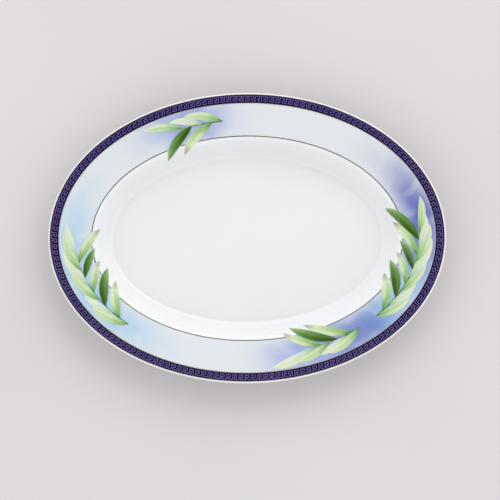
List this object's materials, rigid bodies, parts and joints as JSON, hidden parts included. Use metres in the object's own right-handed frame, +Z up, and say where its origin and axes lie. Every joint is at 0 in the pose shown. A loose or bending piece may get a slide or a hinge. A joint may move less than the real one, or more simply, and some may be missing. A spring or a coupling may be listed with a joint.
{
  "type": "serving platter",
  "caption": "Oval glazed china platter with a wide printed rim, a shallow well, gold lines and a bare oval foot ring.",
  "frame": {"origin": "on the table, under the middle of the oval foot ring", "axes": "+X along the platter's length, +Y towards the edge that is uppermost on a display stand, +Z up out of the well"},
  "size_m": [0.34, 0.25, 0.0286],
  "materials": {
    "bisque": "unglazed, fine matt",
    "glaze": "clear glaze over white porcelain, glossy",
    "pale_blue_print": "in-glaze print, pale blue fading to sky and violet blue, glossy",
    "cobalt_print": "dark cobalt print with a lighter key-pattern line, glossy",
    "gold_line": "thin fired gold line, burnished",
    "leaf_print": "in-glaze print of pale to deep green leaves, glossy"
  },
  "bodies": {
    "root": {"porcelain_body": "bisque", "glaze_coat": "glaze", "glaze_foot_well": "glaze", "rim_ground_transfer": "pale_blue_print", "border_band": "cobalt_print", "gold_line_outer": "gold_line", "gold_line_band_inner": "gold_line", "gold_line_well": "gold_line", "leaf_sprig_left": "leaf_print", "leaf_sprig_top": "leaf_print", "leaf_sprig_right": "leaf_print", "leaf_sprig_lower": "leaf_print"}
  },
  "joints": []
}
